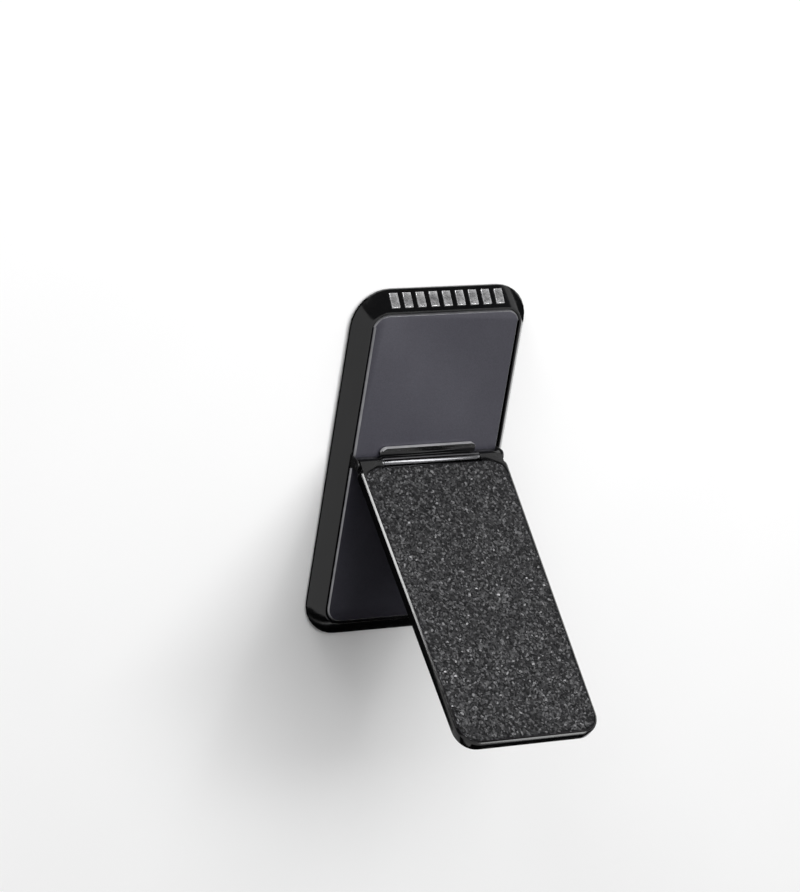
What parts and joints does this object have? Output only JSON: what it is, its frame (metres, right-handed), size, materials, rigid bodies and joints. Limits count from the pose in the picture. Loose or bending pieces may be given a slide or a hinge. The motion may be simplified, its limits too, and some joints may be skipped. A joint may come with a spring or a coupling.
{
  "type": "phone grip",
  "caption": "Stick-on grip and stand: low bevelled base, smooth face plate, sliding hinge and a swing-out leg with a dark glitter panel.",
  "frame": {"origin": "middle of the adhesive pad's flat back, which is the bottom centre of the object's box", "axes": "+Z out of the front, +Y along the base towards the end wall with the bright bars, +X to the right seen from the front"},
  "size_m": [0.0418, 0.078, 0.061],
  "materials": {
    "adhesive_foam": "matt acrylic foam",
    "matte_black": "fine matt grain",
    "gloss_black": "polished, glossy",
    "plate_paint": "satin grey with a slight purple cast",
    "bright_chrome": "polished",
    "glitter": "dark glitter under clear lacquer",
    "pale_plastic": "slippery, unpainted",
    "bumper_rubber": "soft, matt",
    "steel": "bright stamped or turned steel",
    "black_steel": "black coated steel",
    "black_nickel": "polished black nickel",
    "nickel": "nickel plated"
  },
  "bodies": {
    "base": {"adhesive_pad": "adhesive_foam", "rear_plate": "matte_black", "rear_screws": "steel", "base_shell": "gloss_black", "face_plate": "plate_paint", "trim_bars": "bright_chrome", "wear_strip": "pale_plastic", "stop_bumper_upper": "bumper_rubber", "stop_bumper_lower": "bumper_rubber"},
    "carriage": {"saddle_bracket": "black_steel", "glide_shoe_left": "pale_plastic", "glide_shoe_right": "pale_plastic", "drag_spring": "steel", "spring_rivets": "steel", "hinge_pin": "steel", "hinge_barrel": "black_nickel", "friction_washer_left": "steel", "friction_washer_right": "steel"},
    "leg": {"leg_frame": "gloss_black", "glitter_panel": "glitter", "inner_liner": "matte_black", "closing_magnet_left": "nickel", "closing_magnet_right": "nickel"}
  },
  "joints": [
    {"name": "carriage_slide", "type": "slide", "parent": "base", "child": "carriage", "axis": [0, 1, 0], "range_m": [0, 0.0283]},
    {"name": "leg_hinge", "type": "hinge", "parent": "carriage", "child": "leg", "pos_m": [0, 0.0023, 0.0059], "axis": [-1, 0, 0], "range_deg": [-54.5, 20]}
  ]
}
